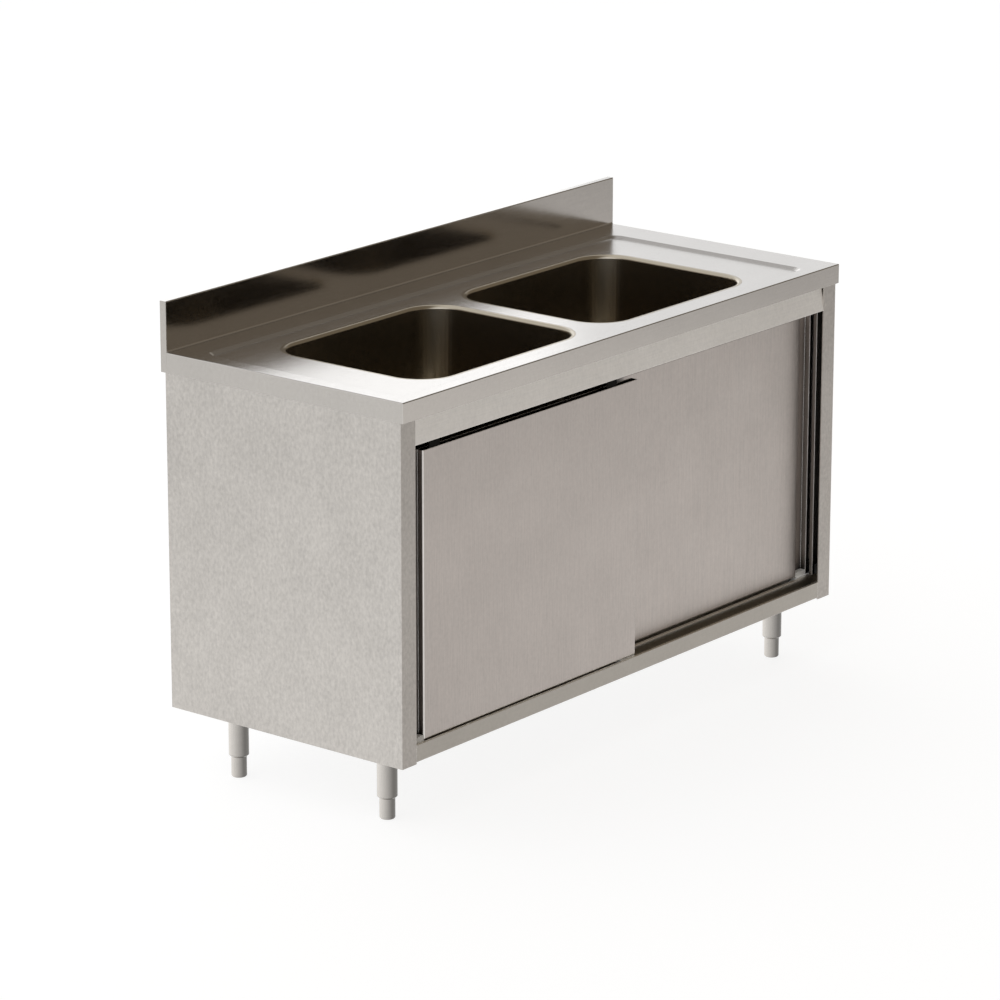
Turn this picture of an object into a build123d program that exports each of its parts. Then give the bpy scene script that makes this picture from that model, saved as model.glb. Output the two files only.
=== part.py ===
from build123d import *
import os
from math import cos, pi, sin

os.makedirs("parts", exist_ok=True)

# Frame: millimetres, +Z up, origin on the floor under the middle of the worktop, front towards -Y

# Worktop, one folded sheet with its upstand
top_length = 1400.0
top_depth = 600.0
top_height = 850.0
top_gauge = 1.5
fold_height = 40.0
fold_return = 15.0
corner_radius = 2.0
upstand_height = 100.0
upstand_depth = 15.0
cove_radius = 4.0

# Sunken field of the worktop inside its raised border
field_drop = 5.0
field_slope = 8.0
field_corner = 25.0
border_left = 35.0
border_right = 80.0
border_front = 30.0
border_back = 62.0

# Bowls, their opening measured at the field
bowl_length = 500.0
bowl_width = 400.0
bowl_corner = 80.0
bowl_roll = 7.0
bowl_land = 4.0
bowl_depth = 250.0
bowl_gauge = 1.2
bowl_draft = 2.0
bowl_base_radius = 30.0
bowl_from_front = 66.0
bowl_from_left = 148.0
bowl_gap = 50.0

# Stiffeners under the worktop
stiffener_height = 20.0
stiffener_web = 26.0
stiffener_flange = 8.0
stiffener_end_gap = 12.0
stiffener_from_land = 2.0

# Cabinet body
sheet = 1.2
body_bottom = 137.0
side_inset = 1.5
front_setback = 7.0
back_setback = 9.0
back_gauge = 1.0
post_width = 42.0
post_hem = 10.0
panel_flange = 20.0
edge_radius = 2.0

# Header above the doors, leaning back at its top
header_height = 52.0
header_lean = 5.0
header_return = 5.0
header_flange = 30.0

# Doors
door_overlap = 60.0
front_door_bottom = 176.0
rear_door_bottom = 184.0
door_top_gap = 16.0
door_thickness = 16.0
door_gauge = 1.0
door_setback = 5.5
door_pitch = 31.5
pull_lip = 9.5
pull_width = 34.0
pull_depth = 13.0
door_edge_radius = 0.8
door_bend = 4.0
core_gap = 1.5
ledge_depth = 22.0

# Bottom track, divider between the doors and upright dividers at the sides
lip_bottom = 141.0
lip_top = 175.0
lip_depth = 5.0
lip_return = 15.0
track_floor = 160.0
divider_top = 184.0
divider_clearance = 1.5
divider_width = 8.5
slot_clearance = 1.0
track_ledge = 5.0
jamb_reveal = 29.8

# Door guides and stops
guide_clearance = 1.5
guide_floor_gap = 2.8
guide_plug_height = 10.0
guide_length = 45.0
plug_clearance = 0.3
stop_length = 25.0
stop_clearance = 0.3
stop_height = 20.0
stop_lift = 2.0

# Top track, rollers and hangers
track_gauge = 1.2
rail_above_door = 22.0
rail_lip_height = 8.0
roller_from_face = 9.0
rail_web_from_lip = 9.3
top_track_gap = 7.5
roller_radius = 13.0
roller_width = 7.4
groove_depth = 2.0
groove_width = 2.4
roller_clearance = 0.3
axle_radius = 3.0
axle_fit = 0.08
axle_shoulder_radius = 5.0
axle_head = 1.8
hanger_from_end = 80.0
hanger_width = 30.0
hanger_gauge = 2.5
hanger_from_face = 1.5
hanger_foot = 12.0
hanger_top_margin = 12.0
hanger_bolt_head = 4.4

# Cabinet floor and the channels under it
floor_top = 176.0
floor_flange = 20.0
channel_width = 70.0
channel_gauge = 1.5
channel_end_gap = 7.0

# Legs
leg_from_side = 71.0
leg_from_front = 103.0
leg_from_back = 120.0
leg_radius = 20.0
leg_wall = 1.5
leg_step = 47.0
leg_plate = 66.0
leg_plate_gauge = 3.0
leg_bolt_pitch = 48.0
spigot_wall = 2.0
spigot_length = 12.0
spigot_fit = 0.3
insert_length = 52.0
insert_rim = 4.5
insert_taper = 3.5
socket_depth = 22.0
foot_radius = 15.5
foot_stop_gap = 0.3
foot_gap = 0.3
foot_edge = 4.0
stem_radius = 8.0
stem_rise = 112.0
stem_fit = 0.05

# Fasteners
leg_bolt_radius = 3.0
leg_bolt_head = 5.5
leg_bolt_head_height = 4.0
bolt_clearance = 0.3
panel_screw_radius = 2.0
panel_screw_head = 4.0
panel_screw_head_height = 2.0
panel_screw_length = 6.0
panel_screw_rows = 5
panel_screw_margin = 40.0
track_screw_radius = 2.5
track_screw_head = 4.5
track_screw_head_height = 3.0
track_screw_count = 5
track_screw_margin = 60.0

# Strainer in each bowl
sump_radius = 57.0
sump_depth = 4.0
drain_hole = 45.0
strainer_flange = 56.0
strainer_gauge = 1.5
strainer_radius = 43.0
strainer_wall = 2.0
strainer_depth = 50.0
outlet_radius = 24.0
outlet_wall = 2.5
outlet_length = 30.0
gasket_radius = 58.0
gasket_height = 3.0
lock_nut_radius = 62.0
lock_nut_height = 12.0
thread_clearance = 0.3

# Basket that lifts out of each strainer
basket_radius = 37.5
basket_wall = 1.5
basket_height = 42.0
basket_rest_gap = 0.3
plug_radius = 26.0
plug_height = 3.0
basket_holes = 12
basket_hole_radius = 2.5
knob_stem = 3.0
knob_radius = 7.0

# Waste pipes and bottle trap
pipe_radius = 20.0
pipe_wall = 1.8
pipe_fit = 0.1
socket_wall = 3.0
socket_length = 22.0
bend_radius = 35.0
waste_drop = 78.0
tee_reach = 25.0
tail_flange = 2.5
tail_flange_radius = 23.5
trap_neck = 20.0
trap_height = 85.0
trap_radius = 34.0
trap_wall = 3.0
trap_dip_gap = 25.0
trap_outlet_drop = 33.0
trap_cup_radius = 37.0
trap_cup_height = 35.0
trap_cup_overlap = 10.0
trap_cup_wall = 2.5
slip_nut_radius = 31.0
slip_nut_height = 16.0
slip_nut_shoulder = 4.0
outlet_from_wall = 2.0
outlet_grip = 40.0
outlet_mark_width = 3.0
outlet_mark_depth = 0.5
service_opening = 120.0

# Places worked out from the sizes above
side_edge = top_length / 2
front_edge = -top_depth / 2
back_edge = top_depth / 2
upstand_face = back_edge - upstand_depth
upstand_top = top_height + upstand_height
body_top = top_height - fold_height
field_top = top_height - field_drop
field_left = -side_edge + border_left
field_right = side_edge - border_right
field_front = front_edge + border_front
field_back = upstand_face - border_back
field_length = field_right - field_left
field_width = field_back - field_front
field_x = (field_left + field_right) / 2
field_y = (field_front + field_back) / 2
bowl_y = front_edge + bowl_from_front + bowl_width / 2
bowl_left_x = -side_edge + bowl_from_left + bowl_length / 2
bowl_right_x = bowl_left_x + bowl_length + bowl_gap
bowl_base = field_top - bowl_depth
side_outer = side_edge - side_inset
side_inner = side_outer - sheet
post_inner = side_outer - post_width
front_plane = front_edge + front_setback
back_plane = back_edge - back_setback
back_inner = back_plane - back_gauge
header_bottom = body_top - header_height
door_end = side_inner - stop_length - stop_clearance
door_width = door_end + door_overlap / 2
front_face = front_plane + door_setback
rear_face = front_face + door_pitch
slot_front = front_plane + lip_depth
divider_front = front_face + door_thickness + divider_clearance
divider_back = divider_front + divider_width
slot_back = rear_face + door_thickness + slot_clearance
jamb_nose = side_inner - jamb_reveal
top_track_length = 2 * (jamb_nose - top_track_gap)
door_top = header_bottom - door_top_gap
rail_bottom = door_top + rail_above_door
rail_top = rail_bottom + rail_lip_height
roller_z = rail_top + roller_radius - groove_depth + roller_clearance
ledge_top = door_top - ledge_depth
leg_x = side_edge - leg_from_side
leg_front_y = front_edge + leg_from_front
leg_back_y = back_edge - leg_from_back
channel_bottom = body_bottom + leg_plate_gauge
sump_floor = bowl_base - sump_depth
sump_underside = sump_floor - bowl_gauge
strainer_floor = sump_floor - strainer_depth
outlet_end = strainer_floor - outlet_length
waste_level = outlet_end - waste_drop
elbow_top = waste_level + bend_radius
tee_top = waste_level + tee_reach
tee_bottom = waste_level - tee_reach
trap_inlet_top = tee_bottom
trap_top = trap_inlet_top - trap_neck
trap_bottom = trap_top - trap_height
trap_dip = trap_bottom + trap_dip_gap
trap_outlet_level = trap_top - trap_outlet_drop
trap_cup_bottom = trap_bottom - trap_cup_height


def span(x0, y0, x1, y1, mode=Mode.ADD):
    """Rectangle between two corners, in the open sketch."""
    with Locations(((x0 + x1) / 2, (y0 + y1) / 2)):
        Rectangle(abs(x1 - x0), abs(y1 - y0), mode=mode)


def block(x0, y0, z0, x1, y1, z1, mode=Mode.ADD):
    """Box between two corners, in the open part."""
    with Locations(((x0 + x1) / 2, (y0 + y1) / 2, (z0 + z1) / 2)):
        Box(abs(x1 - x0), abs(y1 - y0), abs(z1 - z0), mode=mode)


def profile_plane(x):
    """Upright plane across the cabinet: local x is Y, local y is Z."""
    return Plane.YZ.offset(x)


def turned(x, y, sections, mode=Mode.ADD):
    """Rings round an upright axis, each given as inner radius, bottom, outer radius, top."""
    with BuildSketch(Plane((x, y, 0), x_dir=(1, 0, 0), z_dir=(0, -1, 0))) as rings:
        for inner, low, outer, high in sections:
            span(inner, low, outer, high)
    revolve(rings.sketch, axis=Axis((x, y, 0), (0, 0, 1)), mode=mode)


def turned_across(x, z, sections, mode=Mode.ADD):
    """Rings round an axis that runs front to back: inner radius, front, outer radius, back."""
    with BuildSketch(Plane((x, 0, z), x_dir=(1, 0, 0), z_dir=(0, 0, 1))) as rings:
        for inner, front, outer, back in sections:
            span(inner, front, outer, back)
    revolve(rings.sketch, axis=Axis((x, 0, z), (0, 1, 0)), mode=mode)


def tube(start, direction, length, outer, inner, mode=Mode.ADD):
    """Straight tube from a point along a direction."""
    with BuildSketch(Plane(start, z_dir=direction)) as ring:
        Circle(outer)
        if inner > 0:
            Circle(inner, mode=Mode.SUBTRACT)
    extrude(ring.sketch, amount=length, mode=mode)


def finish(part, name):
    """Label a finished piece and write it."""
    part.label = name
    export_step(part, f"parts/{name}.step")


# Worktop
def field_outline(height, inset):
    with BuildSketch(Plane((field_x, field_y, height))) as outline:
        RectangleRounded(field_length - 2 * inset, field_width - 2 * inset, field_corner - inset)
    return outline.sketch


def bowl_outline(centre_x, height, grow):
    with BuildSketch(Plane((centre_x, bowl_y, height))) as outline:
        RectangleRounded(bowl_length + 2 * grow, bowl_width + 2 * grow, bowl_corner + grow)
    return outline.sketch


with BuildPart() as worktop:
    block(-side_edge, front_edge, body_top, side_edge, back_edge, top_height)
    top_edges = worktop.edges().group_by(Axis.Z)[-1].sort_by(Axis.Y)[:-1]
    front_corners = worktop.edges().filter_by(Axis.Z).sort_by(Axis.Y)[:2]
    fillet(top_edges + front_corners, corner_radius)
    inner_x = side_edge - top_gauge
    inner_front = front_edge + top_gauge
    inner_back = back_edge - top_gauge
    inner_bottom = body_top + top_gauge
    inner_top = top_height - top_gauge
    block(-inner_x, inner_front, inner_bottom, inner_x, inner_back, inner_top, Mode.SUBTRACT)
    return_x = inner_x - fold_return
    return_front = inner_front + fold_return
    return_back = inner_back - fold_return
    block(-return_x, return_front, body_top, return_x, return_back, inner_bottom, Mode.SUBTRACT)
    hollow_front = upstand_face + top_gauge
    block(-inner_x, hollow_front, inner_top, inner_x, inner_back, top_height, Mode.SUBTRACT)
    for side in (-1, 1):
        block(side * inner_x, upstand_face, body_top, side * side_edge, back_edge, top_height, Mode.SUBTRACT)
    with BuildSketch(profile_plane(-inner_x)):
        span(upstand_face, inner_top, hollow_front, upstand_top)
        span(upstand_face, upstand_top - top_gauge, back_edge, upstand_top)
        span(inner_back, body_top, back_edge, upstand_top)
    extrude(amount=2 * inner_x)
    fillet(worktop.edges().group_by(Axis.Z)[-1].filter_by(Axis.X), corner_radius)
    cove = worktop.edges().filter_by(Axis.X).sort_by_distance((0, upstand_face, top_height))[0]
    fillet(cove, cove_radius)
    pad_top = field_outline(inner_top, -top_gauge / 2)
    pad_bottom = field_outline(field_top - top_gauge, field_slope - top_gauge / 2)
    loft([pad_top, pad_bottom])
    pocket_top = field_outline(top_height, 0)
    pocket_bottom = field_outline(field_top, field_slope)
    loft([pocket_top, pocket_bottom], mode=Mode.SUBTRACT)
    for centre_x in (bowl_left_x, bowl_right_x):
        hole = bowl_outline(centre_x, field_top - 2 * top_gauge, bowl_land)
        extrude(hole, amount=3 * top_gauge, mode=Mode.SUBTRACT)
finish(worktop.part, "worktop")

with BuildPart() as upstand_caps:
    for side in (-1, 1):
        cap_x = side * (side_edge - top_gauge)
        block(cap_x, upstand_face, body_top, side * side_edge, back_edge, upstand_top)
finish(upstand_caps.part, "upstand_caps")


# Bowls, with a rolled edge, drafted walls and a round sump for the strainer
def bowl_wall(centre_x, grow):
    """Solid of the bowl's shape, grown outwards, hanging from the field."""
    wall_length = bowl_length - 2 * bowl_roll
    wall_width = bowl_width - 2 * bowl_roll
    wall_corner = bowl_corner - bowl_roll
    with BuildPart() as wall:
        with BuildSketch(Plane((centre_x, bowl_y, field_top), z_dir=(0, 0, -1))):
            RectangleRounded(wall_length + 2 * grow, wall_width + 2 * grow, wall_corner + grow)
        extrude(amount=bowl_depth + grow, taper=bowl_draft)
        fillet(wall.edges().group_by(Axis.Z)[0], bowl_base_radius + grow)
    return wall.part


def make_bowl(name, centre_x):
    cavity = bowl_wall(centre_x, 0)
    shell = bowl_wall(centre_x, bowl_gauge)
    land_bottom = field_top - top_gauge
    with BuildPart() as bowl:
        add(shell)
        extrude(bowl_outline(centre_x, land_bottom, bowl_land), amount=top_gauge)
        underside = bowl.faces().filter_by_position(Axis.Z, land_bottom - 0.1, land_bottom + 0.1)[0]
        fillet(underside.inner_wires()[0].edges(), bowl_roll - bowl_gauge)
        turned(centre_x, bowl_y, [(0, sump_underside, sump_radius + bowl_gauge, bowl_base)])
        add(cavity, mode=Mode.SUBTRACT)
        turned(centre_x, bowl_y, [(0, sump_floor, sump_radius, bowl_base + 1)], Mode.SUBTRACT)
        turned(centre_x, bowl_y, [(0, sump_underside - 1, drain_hole, bowl_base)], Mode.SUBTRACT)
        rim = bowl.faces().sort_by(Axis.Z)[-1]
        fillet(rim.inner_wires()[0].edges(), bowl_roll)
    finish(bowl.part, name)


make_bowl("bowl_left", bowl_left_x)
make_bowl("bowl_right", bowl_right_x)

# Stiffeners under the field: one behind the bowls, one right of them
with BuildPart() as worktop_stiffeners:
    stiffener_top = field_top - top_gauge
    stiffener_bottom = stiffener_top - stiffener_height
    half_web = stiffener_web / 2
    half_width = half_web + stiffener_flange
    bowl_back = bowl_y + bowl_width / 2 + bowl_land
    rear_y = bowl_back + stiffener_from_land + half_width
    rear_start = field_left + field_slope + stiffener_end_gap
    rear_length = field_length - 2 * field_slope - 2 * stiffener_end_gap
    with BuildSketch(profile_plane(rear_start)):
        span(rear_y - half_web, stiffener_bottom, rear_y + half_web, stiffener_bottom + sheet)
        for side in (-1, 1):
            wall_y = rear_y + side * half_web
            span(wall_y, stiffener_bottom, wall_y - side * sheet, stiffener_top)
            span(wall_y - side * sheet, stiffener_top - sheet, rear_y + side * half_width, stiffener_top)
    extrude(amount=rear_length)
    bowl_end = bowl_right_x + bowl_length / 2 + bowl_land
    cross_x = (bowl_end + field_right - field_slope) / 2
    cross_start = field_front + field_slope + stiffener_end_gap
    cross_length = bowl_back - stiffener_from_land - cross_start
    with BuildSketch(Plane((cross_x, cross_start, 0), x_dir=(1, 0, 0), z_dir=(0, -1, 0))):
        span(-half_web, stiffener_bottom, half_web, stiffener_bottom + sheet)
        for side in (-1, 1):
            span(side * half_web, stiffener_bottom, side * (half_web - sheet), stiffener_top)
            span(side * (half_web - sheet), stiffener_top - sheet, side * half_width, stiffener_top)
    extrude(amount=-cross_length)
finish(worktop_stiffeners.part, "worktop_stiffeners")


# Side panels, each with its hemmed front post and its flanges
def make_side_panel(name, side):
    outer = side * side_outer
    inner = side * side_inner
    hem_front = front_plane + sheet
    with BuildPart() as panel:
        with BuildSketch(Plane.XY.offset(body_bottom)):
            span(outer, front_plane, inner, back_inner)
            span(outer, front_plane, side * post_inner, hem_front)
            span(side * (post_inner + post_hem), hem_front, side * post_inner, hem_front + sheet)
            span(outer, back_inner - sheet, side * (side_outer - panel_flange), back_inner)
        extrude(amount=body_top - body_bottom)
        corner = panel.edges().filter_by(Axis.Z).sort_by_distance((outer, front_plane, body_top / 2))[0]
        fillet(corner, edge_radius)
        flange_x = side * (side_outer - panel_flange)
        block(inner, hem_front, body_top - sheet, flange_x, back_inner, body_top)
        block(inner, hem_front, body_bottom, flange_x, back_inner, body_bottom + sheet)
        for row in range(panel_screw_rows):
            hole_z = panel_screw_z(row)
            hole_x = side * panel_screw_x
            tube((hole_x, back_inner - 2 * sheet, hole_z), (0, 1, 0), 3 * sheet,
                 panel_screw_radius + bolt_clearance, 0, Mode.SUBTRACT)
    finish(panel.part, name)


panel_screw_x = side_outer - panel_flange / 2


def panel_screw_z(row):
    first = lip_bottom + panel_screw_margin
    last = body_top - panel_screw_margin
    return first + (last - first) * row / (panel_screw_rows - 1)


make_side_panel("side_panel_left", -1)
make_side_panel("side_panel_right", 1)

# Back panel with its opening for the waste pipe
with BuildPart() as back_panel:
    block(-side_inner, back_inner, lip_bottom, side_inner, back_plane, body_top - sheet)
    half_opening = service_opening / 2
    block(bowl_right_x - half_opening, back_inner, trap_outlet_level - half_opening,
          bowl_right_x + half_opening, back_plane, trap_outlet_level + half_opening, Mode.SUBTRACT)
    for side in (-1, 1):
        for row in range(panel_screw_rows):
            tube((side * panel_screw_x, back_inner, panel_screw_z(row)), (0, 1, 0), back_gauge,
                 panel_screw_radius + bolt_clearance, 0, Mode.SUBTRACT)
finish(back_panel.part, "back_panel")

with BuildPart() as back_panel_screws:
    for side in (-1, 1):
        for row in range(panel_screw_rows):
            screw_x = side * panel_screw_x
            screw_z = panel_screw_z(row)
            tube((screw_x, back_plane, screw_z), (0, -1, 0), panel_screw_length, panel_screw_radius, 0)
            tube((screw_x, back_plane, screw_z), (0, 1, 0), panel_screw_head_height, panel_screw_head, 0)
finish(back_panel_screws.part, "back_panel_screws")

# Cabinet floor, turned down at its sides and back
with BuildPart() as floor_panel:
    floor_back = back_inner - 2 * sheet
    floor_bottom = floor_top - sheet
    flange_bottom = floor_top - floor_flange
    block(-side_inner, slot_back, floor_bottom, side_inner, floor_back, floor_top)
    for side in (-1, 1):
        block(side * side_inner, slot_back + track_ledge + sheet, flange_bottom,
              side * (side_inner - sheet), floor_back, floor_bottom)
    block(-side_inner, floor_back - sheet, flange_bottom, side_inner, floor_back, floor_bottom)
finish(floor_panel.part, "floor_panel")

# Bottom track: front lip between the posts, two slots and the raised divider
with BuildPart() as bottom_track:
    floor_level = track_floor + sheet
    ledge_level = floor_top - sheet
    with BuildSketch(profile_plane(-side_inner)):
        span(slot_front - sheet, track_floor, slot_front, lip_top)
        span(slot_front - sheet, track_floor, slot_back + sheet, floor_level)
        span(divider_front, track_floor, divider_back, divider_top)
        span(divider_front + sheet, track_floor, divider_back - sheet, divider_top - sheet, Mode.SUBTRACT)
        span(slot_back, track_floor, slot_back + sheet, ledge_level)
        span(slot_back, ledge_level - sheet, slot_back + track_ledge, ledge_level)
    extrude(amount=2 * side_inner)
    with BuildSketch(profile_plane(-post_inner)):
        span(front_plane, lip_bottom, front_plane + sheet, lip_top)
        span(front_plane, lip_top - sheet, slot_front, lip_top)
        span(front_plane, lip_bottom, front_plane + lip_return, lip_bottom + sheet)
    extrude(amount=2 * post_inner)
    lip_edges = bottom_track.edges().filter_by(Axis.X)
    lip_edge = lip_edges.sort_by_distance((0, front_plane, lip_top))[0]
    fillet(lip_edge, edge_radius / 2)
    rib_front = lip_edges.sort_by_distance((0, divider_front, divider_top))[0]
    rib_back = lip_edges.sort_by_distance((0, divider_back, divider_top))[0]
    fillet([rib_front, rib_back], edge_radius / 2)
finish(bottom_track.part, "bottom_track")


# Upright dividers between the door slots, standing on the raised divider
def make_jamb(name, side):
    with BuildPart() as jamb:
        with BuildSketch(Plane.XY.offset(divider_top)):
            span(side * side_inner, divider_front, side * jamb_nose, divider_back)
            span(side * side_inner, divider_front + sheet, side * (jamb_nose + sheet),
                 divider_back - sheet, Mode.SUBTRACT)
        extrude(amount=body_top - sheet - divider_top)
        upright = jamb.edges().filter_by(Axis.Z)
        nose_front = upright.sort_by_distance((side * jamb_nose, divider_front, top_height / 2))[0]
        nose_back = upright.sort_by_distance((side * jamb_nose, divider_back, top_height / 2))[0]
        fillet([nose_front, nose_back], edge_radius / 2)
    finish(jamb.part, name)


make_jamb("jamb_left", -1)
make_jamb("jamb_right", 1)

# Header: a leaning face with a small return below and a flange above
with BuildPart() as header:
    with BuildSketch(profile_plane(-post_inner)):
        with BuildLine():
            Polyline(
                (front_plane, header_bottom),
                (front_plane + header_lean, body_top),
                (front_plane + header_lean + header_flange, body_top),
                (front_plane + header_lean + header_flange, body_top - sheet),
                (front_plane + header_lean + sheet, body_top - sheet),
                (front_plane + sheet, header_bottom + sheet),
                (front_plane + header_return, header_bottom + sheet),
                (front_plane + header_return, header_bottom),
                close=True,
            )
        make_face()
    extrude(amount=2 * post_inner)
    header_edge = header.edges().filter_by(Axis.X).sort_by_distance((0, front_plane, header_bottom))[0]
    fillet(header_edge, edge_radius / 2)
    track_screw_y = front_plane + header_lean + header_flange - 1.5 * track_screw_head
    track_screw_first = -top_track_length / 2 + track_screw_margin
    track_screw_step = (top_track_length - 2 * track_screw_margin) / (track_screw_count - 1)
    for number in range(track_screw_count):
        screw_x = track_screw_first + number * track_screw_step
        tube((screw_x, track_screw_y, body_top - 2 * sheet), (0, 0, 1), 3 * sheet,
             track_screw_radius + bolt_clearance, 0, Mode.SUBTRACT)
finish(header.part, "header")

# Top track: one folded plate with two rails, an upturned lip under each row of rollers
track_top = body_top - sheet
front_roller_y = front_face + roller_from_face
rear_roller_y = rear_face + roller_from_face
with BuildPart() as top_track:
    half_lip = track_gauge / 2
    plate_front = front_roller_y - roller_width / 2
    plate_back = rear_roller_y - half_lip + rail_web_from_lip
    with BuildSketch(profile_plane(-top_track_length / 2)):
        span(plate_front, track_top - track_gauge, plate_back, track_top)
        for roller_y in (front_roller_y, rear_roller_y):
            web_back = roller_y - half_lip + rail_web_from_lip
            span(web_back - track_gauge, rail_bottom, web_back, track_top)
            span(roller_y - half_lip, rail_bottom, web_back, rail_bottom + track_gauge)
            span(roller_y - half_lip, rail_bottom, roller_y + half_lip, rail_top)
    extrude(amount=top_track_length)
    for number in range(track_screw_count):
        screw_x = track_screw_first + number * track_screw_step
        tube((screw_x, track_screw_y, track_top - 2 * track_gauge), (0, 0, 1), 3 * track_gauge,
             track_screw_radius + bolt_clearance, 0, Mode.SUBTRACT)
finish(top_track.part, "top_track")

with BuildPart() as track_screws:
    head_top = track_top - track_gauge
    for number in range(track_screw_count):
        screw_x = track_screw_first + number * track_screw_step
        tube((screw_x, track_screw_y, head_top), (0, 0, 1), body_top - head_top, track_screw_radius, 0)
        tube((screw_x, track_screw_y, head_top), (0, 0, -1), track_screw_head_height, track_screw_head, 0)
finish(track_screws.part, "track_screws")

# Door stops, two in each slot
with BuildPart() as door_stops:
    stop_bottom = divider_top + stop_lift
    for side in (-1, 1):
        for face in (front_face, rear_face):
            block(side * side_inner, face + door_gauge, stop_bottom, side * (side_inner - stop_length),
                  face + door_thickness - door_gauge, stop_bottom + stop_height)
finish(door_stops.part, "door_stops")

# Channels under the cabinet floor, which carry the legs
leg_places = {
    "front_left": (-leg_x, leg_front_y),
    "front_right": (leg_x, leg_front_y),
    "back_left": (-leg_x, leg_back_y),
    "back_right": (leg_x, leg_back_y),
}
leg_bolt_places = GridLocations(leg_bolt_pitch, leg_bolt_pitch, 2, 2).local_locations


def leg_bolt_points(leg_name):
    x, y = leg_places[leg_name]
    return [(x + place.position.X, y + place.position.Y) for place in leg_bolt_places]


def make_channel(name, centre_y, leg_names):
    with BuildPart() as channel:
        end = side_inner - channel_end_gap
        top = floor_top - sheet
        half = channel_width / 2
        with BuildSketch(profile_plane(-end)):
            span(centre_y - half, channel_bottom, centre_y + half, top)
            span(centre_y - half + channel_gauge, channel_bottom + channel_gauge,
                 centre_y + half - channel_gauge, top, Mode.SUBTRACT)
        extrude(amount=2 * end)
        for leg_name in leg_names:
            for x, y in leg_bolt_points(leg_name):
                tube((x, y, channel_bottom), (0, 0, 1), channel_gauge,
                     leg_bolt_radius + bolt_clearance, 0, Mode.SUBTRACT)
    finish(channel.part, name)


make_channel("base_channel_front", leg_front_y, ("front_left", "front_right"))
make_channel("base_channel_back", leg_back_y, ("back_left", "back_right"))

# Leg plates, each with a spigot that fits inside its leg
with BuildPart() as leg_plates:
    spigot_radius = leg_radius - leg_wall - spigot_fit
    half_plate = leg_plate / 2
    for leg_name, (x, y) in leg_places.items():
        block(x - half_plate, y - half_plate, body_bottom, x + half_plate, y + half_plate, channel_bottom)
        spigot_bottom = body_bottom - spigot_length
        turned(x, y, [(spigot_radius - spigot_wall, spigot_bottom, spigot_radius, body_bottom)])
        for bolt_x, bolt_y in leg_bolt_points(leg_name):
            tube((bolt_x, bolt_y, body_bottom), (0, 0, 1), leg_plate_gauge,
                 leg_bolt_radius + bolt_clearance, 0, Mode.SUBTRACT)
finish(leg_plates.part, "leg_plates")

with BuildPart() as leg_bolts:
    seat = channel_bottom + channel_gauge
    for leg_name in leg_places:
        for x, y in leg_bolt_points(leg_name):
            tube((x, y, seat), (0, 0, -1), seat - body_bottom, leg_bolt_radius, 0)
            with BuildSketch(Plane((x, y, seat))):
                RegularPolygon(leg_bolt_head, 6)
            extrude(amount=leg_bolt_head_height)
finish(leg_bolts.part, "leg_bolts")

# Threaded inserts, pressed into the lower ends of the legs
with BuildPart() as leg_inserts:
    insert_radius = leg_radius - leg_wall
    insert_top = leg_step + insert_length
    socket_top = leg_step + socket_depth
    for x, y in leg_places.values():
        turned(x, y, [
            (foot_radius + foot_gap, leg_step - insert_rim, leg_radius, leg_step),
            (foot_radius + foot_gap, leg_step, insert_radius, socket_top),
            (stem_radius + stem_fit, socket_top, insert_radius, insert_top),
        ])
    rim_edges = leg_inserts.edges().group_by(Axis.Z)[0].filter_by(GeomType.CIRCLE)
    chamfer([edge for edge in rim_edges if edge.radius > insert_radius], insert_taper)
finish(leg_inserts.part, "leg_inserts")


# Leg tubes and the feet that screw into them
foot_top = leg_step + socket_depth - foot_stop_gap


def make_leg(name, x, y):
    with BuildPart() as leg:
        turned(x, y, [(leg_radius - leg_wall, leg_step, leg_radius, body_bottom)])
    finish(leg.part, "leg_tube_" + name)
    with BuildPart() as foot:
        turned(x, y, [(0, 0, foot_radius, foot_top), (0, foot_top, stem_radius, stem_rise)])
        fillet(foot.edges().group_by(Axis.Z)[0], foot_edge)
    finish(foot.part, "foot_" + name)


for leg_name, (leg_place_x, leg_place_y) in leg_places.items():
    make_leg(leg_name, leg_place_x, leg_place_y)


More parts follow.
